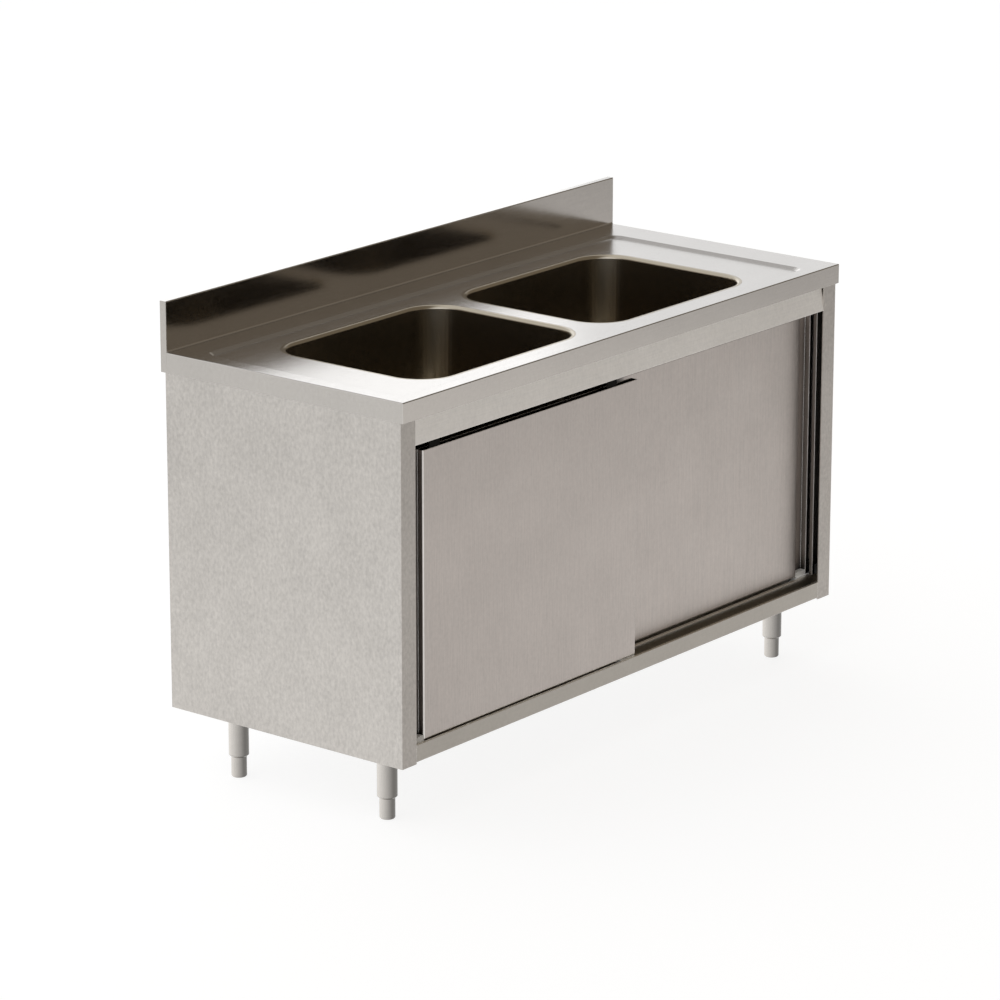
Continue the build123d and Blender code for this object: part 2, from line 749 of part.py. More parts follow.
# Doors. Across a door, u runs inwards from its outer edge and v runs back from its face
def make_door(name, side, face, door_bottom, tongue_front, tongue_back):
    def u(distance):
        return side * (door_end - distance)

    def v(distance):
        return face + distance

    wall_start = pull_lip + pull_width
    wall_end = wall_start + door_gauge
    channel_back = pull_depth + door_gauge
    skin_front = door_thickness - door_gauge
    skin_end = door_width - door_gauge
    bend_inside = door_bend - door_gauge
    bend_v = v(door_bend)
    bend_z = door_bottom + door_bend
    door_height = door_top - door_bottom
    with BuildPart() as outer:
        with BuildSketch(Plane.XY.offset(door_bottom)):
            span(u(0), v(0), u(pull_lip), v(door_gauge))
            span(u(0), v(0), u(door_gauge), v(door_thickness))
            span(u(pull_lip - door_gauge), v(0), u(pull_lip), v(channel_back))
            span(u(pull_lip - door_gauge), v(pull_depth), u(wall_end), v(channel_back))
            span(u(wall_start), v(0), u(wall_end), v(pull_depth))
            span(u(wall_start), v(0), u(door_width), v(door_gauge))
            span(u(skin_end), v(0), u(door_width), v(door_thickness))
        extrude(amount=door_height)
        for distance, depth, radius in (
            (wall_end, door_gauge, bend_inside),
            (wall_start, 0, door_bend),
            (0, 0, door_edge_radius),
            (pull_lip, 0, door_edge_radius),
            (door_width, 0, door_edge_radius),
        ):
            uprights = outer.edges().filter_by(Axis.Z)
            corner = (u(distance), v(depth), door_bottom + door_height / 2)
            fillet(uprights.sort_by_distance(corner)[0], radius)
        block(u(wall_end), v(door_gauge), door_bottom, u(skin_end), v(skin_front), door_bottom + door_gauge)
        with BuildSketch(profile_plane(0)) as inside_bend:
            span(v(door_gauge), door_bottom + door_gauge, bend_v, bend_z)
            with Locations((bend_v, bend_z)):
                Circle(bend_inside, mode=Mode.SUBTRACT)
        filling = inside_bend.sketch.moved(Location((u(wall_end), 0, 0)))
        extrude(filling, amount=side * (wall_end - skin_end))
        with BuildSketch(profile_plane(0)) as outside_bend:
            span(v(0), door_bottom, bend_v, bend_z)
            with Locations((bend_v, bend_z)):
                Circle(door_bend, mode=Mode.SUBTRACT)
        rounding = outside_bend.sketch.moved(Location((u(wall_start), 0, 0)))
        extrude(rounding, amount=side * (wall_start - door_width), mode=Mode.SUBTRACT)
    finish(outer.part, name + "_outer")

    core_start = wall_end + door_bend
    core_end = skin_end - core_gap
    hanger_ends = (hanger_from_end, door_width - hanger_from_end)
    with BuildPart() as inner:
        block(u(door_gauge), v(skin_front), door_bottom, u(skin_end), v(door_thickness), door_top)
        ledge_bottom = ledge_top - door_gauge
        block(u(core_start), v(hanger_from_face), ledge_bottom, u(skin_end), v(skin_front), ledge_top)
        for at in hanger_ends:
            foot_y = v(hanger_from_face + hanger_foot / 2 + hanger_gauge / 2)
            tube((u(at), foot_y, ledge_bottom), (0, 0, 1), door_gauge,
                 leg_bolt_radius + bolt_clearance, 0, Mode.SUBTRACT)
    finish(inner.part, name + "_inner")

    with BuildPart() as core:
        core_bottom = bend_z
        core_top = ledge_top - door_gauge - 2 * leg_bolt_head_height
        block(u(core_start), v(hanger_from_face), core_bottom, u(core_end), v(skin_front), core_top)
    finish(core.part, name + "_core")

    roller_y = v(roller_from_face)
    with BuildPart() as hangers:
        for at in hanger_ends:
            left = u(at) - hanger_width / 2
            right = u(at) + hanger_width / 2
            block(left, v(hanger_from_face), ledge_top, right, v(hanger_from_face + hanger_gauge),
                  roller_z + hanger_top_margin)
            block(left, v(hanger_from_face), ledge_top, right, v(hanger_from_face + hanger_foot),
                  ledge_top + hanger_gauge)
            foot_y = v(hanger_from_face + hanger_foot / 2 + hanger_gauge / 2)
            tube((u(at), foot_y, ledge_top), (0, 0, 1), hanger_gauge,
                 leg_bolt_radius + bolt_clearance, 0, Mode.SUBTRACT)
            tube((u(at), v(hanger_from_face), roller_z), (0, 1, 0), hanger_gauge,
                 axle_radius + axle_fit, 0, Mode.SUBTRACT)
    finish(hangers.part, name + "_hangers")

    shoulder_start = v(hanger_from_face + hanger_gauge)
    head_start = roller_y + roller_width / 2 + roller_clearance
    with BuildPart() as bolts:
        for at in hanger_ends:
            foot_y = v(hanger_from_face + hanger_foot / 2 + hanger_gauge / 2)
            seat = ledge_top + hanger_gauge
            tube((u(at), foot_y, seat), (0, 0, -1), hanger_gauge + door_gauge + leg_bolt_head_height,
                 leg_bolt_radius, 0)
            with BuildSketch(Plane((u(at), foot_y, seat))):
                RegularPolygon(hanger_bolt_head, 6)
            extrude(amount=leg_bolt_head_height)
            turned_across(u(at), roller_z, [
                (0, v(hanger_from_face), axle_radius, head_start + axle_head),
                (0, shoulder_start, axle_shoulder_radius, roller_y - roller_width / 2 - roller_clearance),
                (0, head_start, axle_shoulder_radius, head_start + axle_head),
            ])
    finish(bolts.part, name + "_bolts")

    tongue_bottom = floor_level + guide_floor_gap
    with BuildPart() as guides:
        for start, end in ((0, guide_length), (door_width - guide_length, door_width)):
            block(u(start), tongue_front, tongue_bottom, u(end), tongue_back, door_bottom)
        plug_top = door_bottom + guide_plug_height
        block(u(pull_lip + plug_clearance), v(plug_clearance), door_bottom,
              u(wall_start - plug_clearance), v(pull_depth - plug_clearance), plug_top)
    finish(guides.part, name + "_guides")

    groove_radius = roller_radius - groove_depth
    flange = (roller_width - groove_width) / 2
    bore = axle_radius + axle_fit
    for number, at in enumerate(hanger_ends, start=1):
        front = roller_y - roller_width / 2
        with BuildPart() as roller:
            turned_across(u(at), roller_z, [
                (bore, front, roller_radius, front + flange),
                (bore, front + flange, groove_radius, front + flange + groove_width),
                (bore, front + flange + groove_width, roller_radius, front + roller_width),
            ])
        finish(roller.part, f"{name}_roller_{number}")


make_door("door_left", -1, front_face, front_door_bottom,
          slot_front + guide_clearance, divider_front - guide_clearance)
make_door("door_right", 1, rear_face, rear_door_bottom,
          divider_back + guide_clearance, slot_back - guide_clearance)


# Strainers: body, gasket and lock nut at each bowl, and the basket that lifts out
def make_strainer(side_name, x):
    with BuildPart() as body:
        turned(x, bowl_y, [
            (strainer_radius - strainer_wall, sump_floor, strainer_flange, sump_floor + strainer_gauge),
            (strainer_radius - strainer_wall, strainer_floor, strainer_radius, sump_floor + strainer_gauge),
            (outlet_radius - outlet_wall, strainer_floor, strainer_radius, strainer_floor + strainer_wall),
            (outlet_radius - outlet_wall, outlet_end, outlet_radius, strainer_floor + strainer_wall),
        ])
    finish(body.part, "strainer_" + side_name)

    plug_bottom = strainer_floor + strainer_wall + basket_rest_gap
    plug_top = plug_bottom + plug_height
    basket_top = plug_top + basket_height
    with BuildPart() as basket:
        turned(x, bowl_y, [
            (0, plug_bottom, plug_radius, plug_top),
            (0, plug_top, basket_radius, plug_top + basket_wall),
            (basket_radius - basket_wall, plug_top, basket_radius, basket_top),
            (0, plug_top, knob_stem, basket_top),
        ])
        with Locations((x, bowl_y, basket_top)):
            Sphere(knob_radius)
        with BuildSketch(Plane((x, bowl_y, plug_top))):
            with PolarLocations((plug_radius + basket_radius) / 2, basket_holes):
                Circle(basket_hole_radius)
        extrude(amount=basket_wall, mode=Mode.SUBTRACT)
    finish(basket.part, "basket_" + side_name)


bowl_places = {"left": bowl_left_x, "right": bowl_right_x}
for bowl_name, bowl_x in bowl_places.items():
    make_strainer(bowl_name, bowl_x)

strainer_bore = strainer_radius + thread_clearance
gasket_bottom = sump_underside - gasket_height
with BuildPart() as strainer_gaskets:
    for bowl_x in bowl_places.values():
        turned(bowl_x, bowl_y, [(strainer_bore, gasket_bottom, gasket_radius, sump_underside)])
finish(strainer_gaskets.part, "strainer_gaskets")

with BuildPart() as strainer_nuts:
    for bowl_x in bowl_places.values():
        with BuildSketch(Plane((bowl_x, bowl_y, gasket_bottom), z_dir=(0, 0, -1))):
            RegularPolygon(lock_nut_radius, 8)
            Circle(strainer_bore, mode=Mode.SUBTRACT)
        extrude(amount=lock_nut_height)
finish(strainer_nuts.part, "strainer_nuts")

# Tailpieces hang from the strainer outlets and stop in the elbow and the tee
pipe_bore = pipe_radius - pipe_wall
socket_bore = pipe_radius + pipe_fit
socket_radius = socket_bore + socket_wall
with BuildPart() as tailpieces:
    for bowl_x, pipe_end in ((bowl_left_x, elbow_top), (bowl_right_x, tee_top)):
        turned(bowl_x, bowl_y, [
            (pipe_bore, pipe_end, pipe_radius, outlet_end),
            (pipe_bore, outlet_end - tail_flange, tail_flange_radius, outlet_end),
        ])
finish(tailpieces.part, "tailpieces")

# Elbow below the left bowl, with a socket at each end
with BuildPart() as waste_elbow:
    with BuildSketch(Plane((bowl_left_x, bowl_y, elbow_top))):
        Circle(socket_radius)
        Circle(pipe_bore, mode=Mode.SUBTRACT)
    bend_axis = Axis((bowl_left_x + bend_radius, bowl_y, elbow_top), (0, -1, 0))
    revolve(axis=bend_axis, revolution_arc=90)
    tube((bowl_left_x, bowl_y, elbow_top), (0, 0, 1), socket_length, socket_radius, socket_bore)
    bend_end = (bowl_left_x + bend_radius, bowl_y, waste_level)
    tube(bend_end, (1, 0, 0), socket_length, socket_radius, socket_bore)
finish(waste_elbow.part, "waste_elbow")

cross_start = bowl_left_x + bend_radius
cross_end = bowl_right_x - tee_reach
with BuildPart() as cross_pipe:
    tube((cross_start, bowl_y, waste_level), (1, 0, 0), cross_end - cross_start, pipe_radius, pipe_bore)
finish(cross_pipe.part, "cross_pipe")

# Tee below the right bowl: sockets above and at the left, a spigot down into the trap
with BuildPart() as waste_tee:
    tube((bowl_right_x, bowl_y, tee_bottom), (0, 0, 1), 2 * tee_reach, socket_radius, 0)
    tube((cross_end, bowl_y, waste_level), (1, 0, 0), tee_reach, socket_radius, 0)
    tube((bowl_right_x, bowl_y, tee_bottom), (0, 0, 1), 2 * tee_reach, pipe_bore, 0, Mode.SUBTRACT)
    tube((cross_end, bowl_y, waste_level), (1, 0, 0), tee_reach, pipe_bore, 0, Mode.SUBTRACT)
    tube((bowl_right_x, bowl_y, tee_top), (0, 0, 1), socket_length, socket_radius, socket_bore)
    tube((cross_end, bowl_y, waste_level), (-1, 0, 0), socket_length, socket_radius, socket_bore)
    tube((bowl_right_x, bowl_y, trap_top), (0, 0, 1), tee_bottom - trap_top, pipe_radius, pipe_bore)
finish(waste_tee.part, "waste_tee")

# Bottle trap: body with its dip tube, inlet neck and outlet neck, and the cup that unscrews
neck_start = bowl_y + trap_radius
neck_end = neck_start + socket_length
with BuildPart() as trap_body:
    turned(bowl_right_x, bowl_y, [
        (trap_radius - trap_wall, trap_bottom, trap_radius, trap_top),
        (pipe_bore, trap_top - trap_wall, trap_radius, trap_top),
        (pipe_bore, trap_dip, pipe_radius, trap_top),
        (socket_bore, trap_top, socket_radius, trap_inlet_top - slip_nut_shoulder),
    ])
    outlet_start = (bowl_right_x, bowl_y + trap_radius - trap_wall, trap_outlet_level)
    tube(outlet_start, (0, 1, 0), trap_wall, pipe_bore, 0, Mode.SUBTRACT)
    tube((bowl_right_x, neck_start - trap_wall, trap_outlet_level), (0, 1, 0), trap_wall,
         socket_radius, pipe_bore)
    tube((bowl_right_x, neck_start, trap_outlet_level), (0, 1, 0), socket_length,
         socket_radius, socket_bore)
finish(trap_body.part, "trap_body")

with BuildPart() as trap_cup:
    cup_bore = trap_radius + thread_clearance
    turned(bowl_right_x, bowl_y, [
        (0, trap_cup_bottom, trap_cup_radius, trap_cup_bottom + trap_cup_wall),
        (trap_radius - trap_wall, trap_cup_bottom, trap_cup_radius, trap_bottom),
        (cup_bore, trap_bottom, trap_cup_radius, trap_bottom + trap_cup_overlap),
    ])
finish(trap_cup.part, "trap_cup")

# A shallow ring groove marks how far the outlet goes into the wall's socket
with BuildPart() as outlet_pipe:
    outlet_tip = back_edge - outlet_from_wall
    mark_end = outlet_tip - outlet_grip
    tube((bowl_right_x, neck_start, trap_outlet_level), (0, 1, 0), outlet_tip - neck_start,
         pipe_radius, pipe_bore)
    turned_across(bowl_right_x, trap_outlet_level, [
        (pipe_radius - outlet_mark_depth, mark_end - outlet_mark_width, socket_radius, mark_end),
    ], Mode.SUBTRACT)
finish(outlet_pipe.part, "outlet_pipe")

# Slip nuts: two at the strainer outlets, one on the trap's inlet and one on its outlet
with BuildPart() as slip_nuts:
    nut_bore = outlet_radius + thread_clearance
    nut_shoulder_bore = pipe_radius + thread_clearance
    for bowl_x in bowl_places.values():
        shoulder_top = outlet_end - tail_flange
        nut_top = shoulder_top + slip_nut_height
        with BuildSketch(Plane((bowl_x, bowl_y, shoulder_top - slip_nut_shoulder))):
            RegularPolygon(slip_nut_radius, 6)
            Circle(nut_shoulder_bore, mode=Mode.SUBTRACT)
        extrude(amount=slip_nut_shoulder)
        with BuildSketch(Plane((bowl_x, bowl_y, shoulder_top))):
            RegularPolygon(slip_nut_radius, 6)
            Circle(nut_bore, mode=Mode.SUBTRACT)
        extrude(amount=nut_top - shoulder_top)
    neck_bore = socket_radius + thread_clearance
    neck_nuts = (
        (Plane((bowl_right_x, bowl_y, trap_inlet_top - slip_nut_shoulder)), slip_nut_shoulder),
        (Plane((bowl_right_x, neck_end, trap_outlet_level), z_dir=(0, 1, 0)), slip_nut_shoulder),
    )
    for mouth, shoulder in neck_nuts:
        with BuildSketch(mouth):
            RegularPolygon(slip_nut_radius, 6)
            Circle(nut_shoulder_bore, mode=Mode.SUBTRACT)
        extrude(amount=shoulder)
        with BuildSketch(mouth.offset(shoulder - slip_nut_height)):
            RegularPolygon(slip_nut_radius, 6)
            Circle(neck_bore, mode=Mode.SUBTRACT)
        extrude(amount=slip_nut_height - shoulder)
finish(slip_nuts.part, "slip_nuts")
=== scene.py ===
import bpy
import math
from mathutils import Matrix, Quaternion, Vector

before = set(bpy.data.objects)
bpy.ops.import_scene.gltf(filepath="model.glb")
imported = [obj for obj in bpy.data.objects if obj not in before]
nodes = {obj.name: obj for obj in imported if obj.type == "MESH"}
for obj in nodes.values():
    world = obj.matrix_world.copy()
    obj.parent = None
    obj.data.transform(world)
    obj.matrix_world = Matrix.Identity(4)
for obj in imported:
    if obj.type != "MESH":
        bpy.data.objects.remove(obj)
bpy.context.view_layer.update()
scene = bpy.context.scene

# Camera at the photograph's viewing angle, in degrees and metres
AZIMUTH = -51.376
ELEVATION = 16.397
ROLL = 0.049
DISTANCE = 9.344137
ASIDE = -0.024907
ABOVE = -0.000058
FOCAL_SHARE = 4.666457
AIM_HEIGHT = 0.45
SENSOR = 36.0

# Brushed grain: how often the streaks repeat a metre along x, y and z
GRAIN_UP = (330.0, 330.0, 14.0)
GRAIN_LONG = (14.0, 330.0, 330.0)

# Share of open space round a point, for painted shade in narrow places: below the first it counts as closed
# and takes the closed shade tone, above the second as open
CLOSED_BELOW = 0.30
OPEN_ABOVE = 0.64
CLOSED_SHADE_TONE = 0.03
OPENNESS_SAMPLES = 8
DOWN = (0, 0, -1)

# How far the rounded normal turns from the flat one, as a dot product, where the painted edge highlight
# starts and where it is full
EDGE_STARTS = 0.99
EDGE_FULL = 0.85
EDGE_HIGHLIGHT_TONE = (0.95, 0.93, 0.90, 1)
EDGE_SAMPLES = 4

# Depth of the relief in metres
STEEL_RELIEF = 0.001
MOULDED_RELIEF = 0.0005


# Node helpers
def new_tree(name):
    material = bpy.data.materials.new(name)
    material.use_nodes = True
    tree = material.node_tree
    return material, tree, tree.nodes["Principled BSDF"]


def link(tree, source, output, target, socket):
    tree.links.new(source.outputs[output], target.inputs[socket])


def stretched_noise(tree, coords, scale, size, detail=2.0, rough=0.5):
    """Noise in object space, squeezed by a scale along each axis."""
    mapping = tree.nodes.new("ShaderNodeMapping")
    mapping.inputs["Scale"].default_value = scale
    link(tree, coords, "Object", mapping, "Vector")
    noise = tree.nodes.new("ShaderNodeTexNoise")
    noise.inputs["Scale"].default_value = size
    noise.inputs["Detail"].default_value = detail
    noise.inputs["Roughness"].default_value = rough
    link(tree, mapping, "Vector", noise, "Vector")
    return noise


def remap(tree, source, output, low, high, to_low, to_high):
    node = tree.nodes.new("ShaderNodeMapRange")
    node.inputs["From Min"].default_value = low
    node.inputs["From Max"].default_value = high
    node.inputs["To Min"].default_value = to_low
    node.inputs["To Max"].default_value = to_high
    link(tree, source, output, node, "Value")
    return node


def summed(tree, first, first_output, second, second_output):
    node = tree.nodes.new("ShaderNodeMath")
    node.operation = "ADD"
    link(tree, first, first_output, node, 0)
    link(tree, second, second_output, node, 1)
    return node


def facing(tree, direction, low, high):
    """0 to 1 as the face's own direction comes round to the given one."""
    geometry = tree.nodes.new("ShaderNodeNewGeometry")
    towards = tree.nodes.new("ShaderNodeVectorMath")
    towards.operation = "DOT_PRODUCT"
    towards.inputs[1].default_value = direction
    link(tree, geometry, "True Normal", towards, 0)
    return remap(tree, towards, "Value", low, high, 0, 1)


def steel(name, colour, roughness, grain, streak=0.06, mottle=0.03, speckle=0.0, spread=0.06, bump=0.02,
          edge=0.0008, metallic=1.0, faces=(), edge_highlight=0.0, recess_shade_reach=0.0, specular=0.5):
    """Satin steel: brushed streaks, a soft mottle, a fine speckle and slightly rounded edges.

    The edge highlight is a painted highlight that brightens the edges, and the recess shade reach is how far
    off a wall painted shade darkens a narrow place.
    faces lists (direction, low, high, colour, added roughness). A face that looks that way takes that tone,
    which stands in for what it would mirror in a real room: the sheet itself has one tone."""
    material, tree, shader = new_tree(name)
    coords = tree.nodes.new("ShaderNodeTexCoord")
    streaks = stretched_noise(tree, coords, grain, 1.0, 3.0, 0.6)
    cloud = stretched_noise(tree, coords, (1, 1, 1), 9.0, 3.0, 0.55)
    fine = stretched_noise(tree, coords, (1, 1, 0.7), 150.0, 3.0, 0.7)
    streak_value = remap(tree, streaks, "Fac", 0.25, 0.75, -streak, streak)
    cloud_value = remap(tree, cloud, "Fac", 0.3, 0.7, 1 - mottle, 1 + mottle)
    fine_value = remap(tree, fine, "Fac", 0.3, 0.7, -speckle, speckle)
    coarse = summed(tree, streak_value, "Result", cloud_value, "Result")
    total = summed(tree, coarse, "Value", fine_value, "Result")
    if recess_shade_reach:
        # Painted shade: narrow places darken as less open space is round them, but faces that look down keep
        # their tone
        around = tree.nodes.new("ShaderNodeAmbientOcclusion")
        around.samples = OPENNESS_SAMPLES
        around.inputs["Distance"].default_value = recess_shade_reach
        open_value = remap(tree, around, "AO", CLOSED_BELOW, OPEN_ABOVE, CLOSED_SHADE_TONE, 1)
        open_share = tree.nodes.new("ShaderNodeMath")
        open_share.operation = "MAXIMUM"
        link(tree, open_value, "Result", open_share, 0)
        link(tree, facing(tree, DOWN, 0.1, 0.4), "Result", open_share, 1)
        shade = tree.nodes.new("ShaderNodeMath")
        shade.operation = "MULTIPLY"
        link(tree, total, "Value", shade, 0)
        link(tree, open_share, "Value", shade, 1)
        total = shade
    tint = tree.nodes.new("ShaderNodeVectorMath")
    tint.operation = "SCALE"
    tint.inputs[0].default_value = colour
    rough_value = remap(tree, streaks, "Fac", 0.25, 0.75, roughness - spread, roughness + spread)
    tone, gloss = None, rough_value.outputs["Result"]
    # Painted reflection and shade: each listed direction blends its own tone into the base colour
    for direction, low, high, other, added in faces:
        share = facing(tree, direction, low, high)
        blend = tree.nodes.new("ShaderNodeMix")
        blend.data_type = "VECTOR"
        blend.inputs[4].default_value = colour
        blend.inputs[5].default_value = other
        if tone:
            tree.links.new(tone, blend.inputs[4])
        link(tree, share, "Result", blend, 0)
        tone = blend.outputs[1]
        if added:
            shift = tree.nodes.new("ShaderNodeMath")
            shift.operation = "MULTIPLY_ADD"
            shift.inputs[1].default_value = added
            link(tree, share, "Result", shift, 0)
            tree.links.new(gloss, shift.inputs[2])
            gloss = shift.outputs["Value"]
    if tone:
        tree.links.new(tone, tint.inputs[0])
    link(tree, total, "Value", tint, "Scale")
    link(tree, tint, "Vector", shader, "Base Color")
    tree.links.new(gloss, shader.inputs["Roughness"])
    shader.inputs["Metallic"].default_value = metallic
    shader.inputs["Specular IOR Level"].default_value = specular
    relief = tree.nodes.new("ShaderNodeBump")
    relief.inputs["Strength"].default_value = bump
    relief.inputs["Distance"].default_value = STEEL_RELIEF
    link(tree, streaks, "Fac", relief, "Height")
    if edge:
        bevel = tree.nodes.new("ShaderNodeBevel")
        bevel.samples = EDGE_SAMPLES
        bevel.inputs["Radius"].default_value = edge
        link(tree, bevel, "Normal", relief, "Normal")
    # Painted highlight: the base colour turns light along edges, where the rounded normal turns from the flat
    # one
    if edge_highlight:
        turned = tree.nodes.new("ShaderNodeVectorMath")
        turned.operation = "DOT_PRODUCT"
        flat = tree.nodes.new("ShaderNodeNewGeometry")
        link(tree, flat, "Normal", turned, 0)
        link(tree, bevel, "Normal", turned, 1)
        painted_edge_blend = tree.nodes.new("ShaderNodeMix")
        painted_edge_blend.data_type = "RGBA"
        painted_edge_blend.inputs[7].default_value = EDGE_HIGHLIGHT_TONE
        link(tree, tint, "Vector", painted_edge_blend, 6)
        link(tree, remap(tree, turned, "Value", EDGE_STARTS, EDGE_FULL, 0, edge_highlight), "Result", painted_edge_blend, 0)
        tree.links.new(painted_edge_blend.outputs[2], shader.inputs["Base Color"])
    link(tree, relief, "Normal", shader, "Normal")
    return material


def moulded(name, colour, roughness, speckle=0.04):
    """Plastic, rubber or board: a fine speckle in colour, gloss and relief."""
    material, tree, shader = new_tree(name)
    coords = tree.nodes.new("ShaderNodeTexCoord")
    fine = stretched_noise(tree, coords, (1, 1, 1), 900.0, 2.0, 0.5)
    cloud = stretched_noise(tree, coords, (1, 1, 1), 30.0, 2.0, 0.5)
    value = remap(tree, cloud, "Fac", 0.3, 0.7, 1 - speckle, 1 + speckle)
    tint = tree.nodes.new("ShaderNodeVectorMath")
    tint.operation = "SCALE"
    tint.inputs[0].default_value = colour
    link(tree, value, "Result", tint, "Scale")
    link(tree, tint, "Vector", shader, "Base Color")
    rough_value = remap(tree, fine, "Fac", 0.3, 0.7, roughness - 0.05, roughness + 0.05)
    link(tree, rough_value, "Result", shader, "Roughness")
    relief = tree.nodes.new("ShaderNodeBump")
    relief.inputs["Strength"].default_value = 0.05
    relief.inputs["Distance"].default_value = MOULDED_RELIEF
    link(tree, fine, "Fac", relief, "Height")
    link(tree, relief, "Normal", shader, "Normal")
    return material


WARM = (1.0, 0.955, 0.90)


def warm(level):
    return tuple(level * share for share in WARM)


# Directions that faces look in, for the painted reflection, highlight and shade tones below
LEVEL = (0, 0, 1)
FRONT = (0, -1, 0)
LEG_SHADE = (0.624, -0.781, 0)
BOWL_CORNER = (-0.78, -0.625, 0)
BOWL_END = (-1, 0, 0)
FIELD_SLOPE = (-0.5, -0.5, 0.707)
BEND_BELOW = (0, -0.93, -0.368)
BEND_LEFT = (-0.6, -0.8, 0)

finishes = {
    # Worktop: front faces painted darker and level faces painted lighter as reflection, the field's slopes
    # that face left and front painted darker as shade
    "worktop": steel("worktop_steel", warm(0.56), 0.22, GRAIN_LONG, 0.03, 0.02, 0.03, 0.03,
                     faces=[(FRONT, 0.7, 0.95, (0.475, 0.443, 0.41), -0.07),
                            (LEVEL, 0.50, 0.84, (0.62, 0.605, 0.59), 0),
                            (FIELD_SLOPE, 0.78, 0.87, (0.36, 0.345, 0.33), 0)]),
    # Bowls: the own tone set dark and brown as painted shade, corners facing front-left painted light as a
    # highlight streak, walls facing left painted darker as shade
    "bowl": steel("bowl_steel", (0.43, 0.385, 0.31), 0.22, GRAIN_UP, 0.0, 0.02, 0.0, 0.0, 0.0,
                  faces=[(BOWL_CORNER, 0.90, 0.99, (0.68, 0.63, 0.54), 0),
                         (BOWL_END, 0.9, 1.0, (0.27, 0.23, 0.18), 0)]),
    # Side panels: front faces painted darker as reflection
    "side": steel("side_steel", warm(0.58), 0.40, GRAIN_UP, 0.04, 0.04, 0.12,
                  faces=[(FRONT, 0.7, 0.95, (0.43, 0.40, 0.37), 0)]),
    # Doors: the own tone set as dark as the other front faces as painted reflection, bends at the bottom and
    # the left painted light as highlights, a painted highlight along the edges, painted shade in narrow
    # places such as the pull channel
    "door": steel("door_steel", (0.48, 0.436, 0.406), 0.38, GRAIN_UP, 0.10, 0.03, 0.05,
                  faces=[(BEND_BELOW, 0.945, 0.975, (0.98, 0.96, 0.93), 0),
                         (BEND_LEFT, 0.92, 0.98, (0.80, 0.77, 0.74), 0)],
                  edge=0.002, edge_highlight=0.7, recess_shade_reach=0.045),
    # Lip: front faces painted darker as reflection, level faces such as the rib's top painted light as a
    # highlight, a painted highlight along the edges
    "lip": steel("lip_steel", (0.60, 0.56, 0.49), 0.36, GRAIN_LONG, 0.05, 0.03, 0.04,
                 faces=[(FRONT, 0.7, 0.95, (0.395, 0.367, 0.33), 0),
                        (LEVEL, 0.5, 0.9, (0.95, 0.92, 0.86), 0)],
                 edge=0.0015, edge_highlight=0.9),
    # Header: its tone is set lighter than the other steel as painted light
    "header": steel("header_steel", warm(0.77), 0.34, GRAIN_LONG, 0.05, 0.03, 0.05),
    "track": steel("track_steel", warm(0.40), 0.45, GRAIN_LONG, 0.05),
    # Legs: the side that faces front-right painted dark as shade and the opposite side left light: painted
    # shade and highlight
    "leg": steel("leg_steel", warm(0.78), 0.18, GRAIN_UP, 0.04, 0.02, 0.02,
                 faces=[(LEG_SHADE, -1.0, 0.6, warm(0.18), 0)]),
    "bright": steel("bright_steel", warm(0.66), 0.14, GRAIN_UP, 0.02),
    # Hangers: made near black and barely reflecting so that they read as the shaded slot above the doors:
    # painted shade
    "dark": steel("near_black_steel", (0.012, 0.011, 0.01), 0.60, GRAIN_UP, 0.01, 0.01,
                  metallic=0, specular=0.05),
    "nylon": moulded("white_nylon", (0.94, 0.94, 0.93), 0.45),
    "plastic": moulded("waste_plastic", (0.80, 0.80, 0.79), 0.38),
    "rubber": moulded("black_rubber", (0.02, 0.02, 0.02), 0.70),
    "board": moulded("fibre_core", (0.50, 0.38, 0.24), 0.85),
}

finish_of = {
    "worktop": "worktop upstand_caps",
    "bowl": "bowl_left bowl_right",
    "side": "side_panel_left side_panel_right back_panel floor_panel worktop_stiffeners",
    "door": "door_left_outer door_left_inner door_right_outer door_right_inner jamb_left jamb_right",
    "lip": "bottom_track",
    "header": "header",
    "track": "top_track base_channel_front base_channel_back leg_plates",
    "leg": "leg_tube_front_left leg_tube_front_right leg_tube_back_left leg_tube_back_right "
           "foot_front_left foot_front_right foot_back_left foot_back_right leg_inserts",
    "bright": "strainer_left strainer_right basket_left basket_right leg_bolts back_panel_screws "
              "track_screws door_left_bolts door_right_bolts",
    "dark": "door_left_hangers door_right_hangers",
    "nylon": "door_left_guides door_right_guides door_left_roller_1 door_left_roller_2 "
             "door_right_roller_1 door_right_roller_2",
    "plastic": "strainer_nuts tailpieces waste_elbow cross_pipe waste_tee trap_body trap_cup outlet_pipe "
               "slip_nuts",
    "rubber": "door_stops strainer_gaskets",
    "board": "door_left_core door_right_core",
}
for finish_name, members in finish_of.items():
    for node_name in members.split():
        data = nodes[node_name].data
        data.materials.clear()
        data.materials.append(finishes[finish_name])

# Camera
azimuth, elevation = math.radians(AZIMUTH), math.radians(ELEVATION)
back = Vector((math.sin(azimuth) * math.cos(elevation), -math.cos(azimuth) * math.cos(elevation),
               math.sin(elevation)))
right = (-back).cross(Vector((0, 0, 1))).normalized()
up = right.cross(-back)
camera_data = bpy.data.cameras.new("camera")
camera_data.sensor_width = SENSOR
camera_data.lens = FOCAL_SHARE * SENSOR
camera_data.clip_start = 0.1
camera_data.clip_end = 100.0
camera = bpy.data.objects.new("camera", camera_data)
scene.collection.objects.link(camera)
camera.location = Vector((0, 0, AIM_HEIGHT)) + back * DISTANCE + right * ASIDE + up * ABOVE
camera.rotation_mode = "QUATERNION"
camera.rotation_quaternion = Quaternion(back, math.radians(ROLL)) @ (-back).to_track_quat("-Z", "Y")
scene.camera = camera


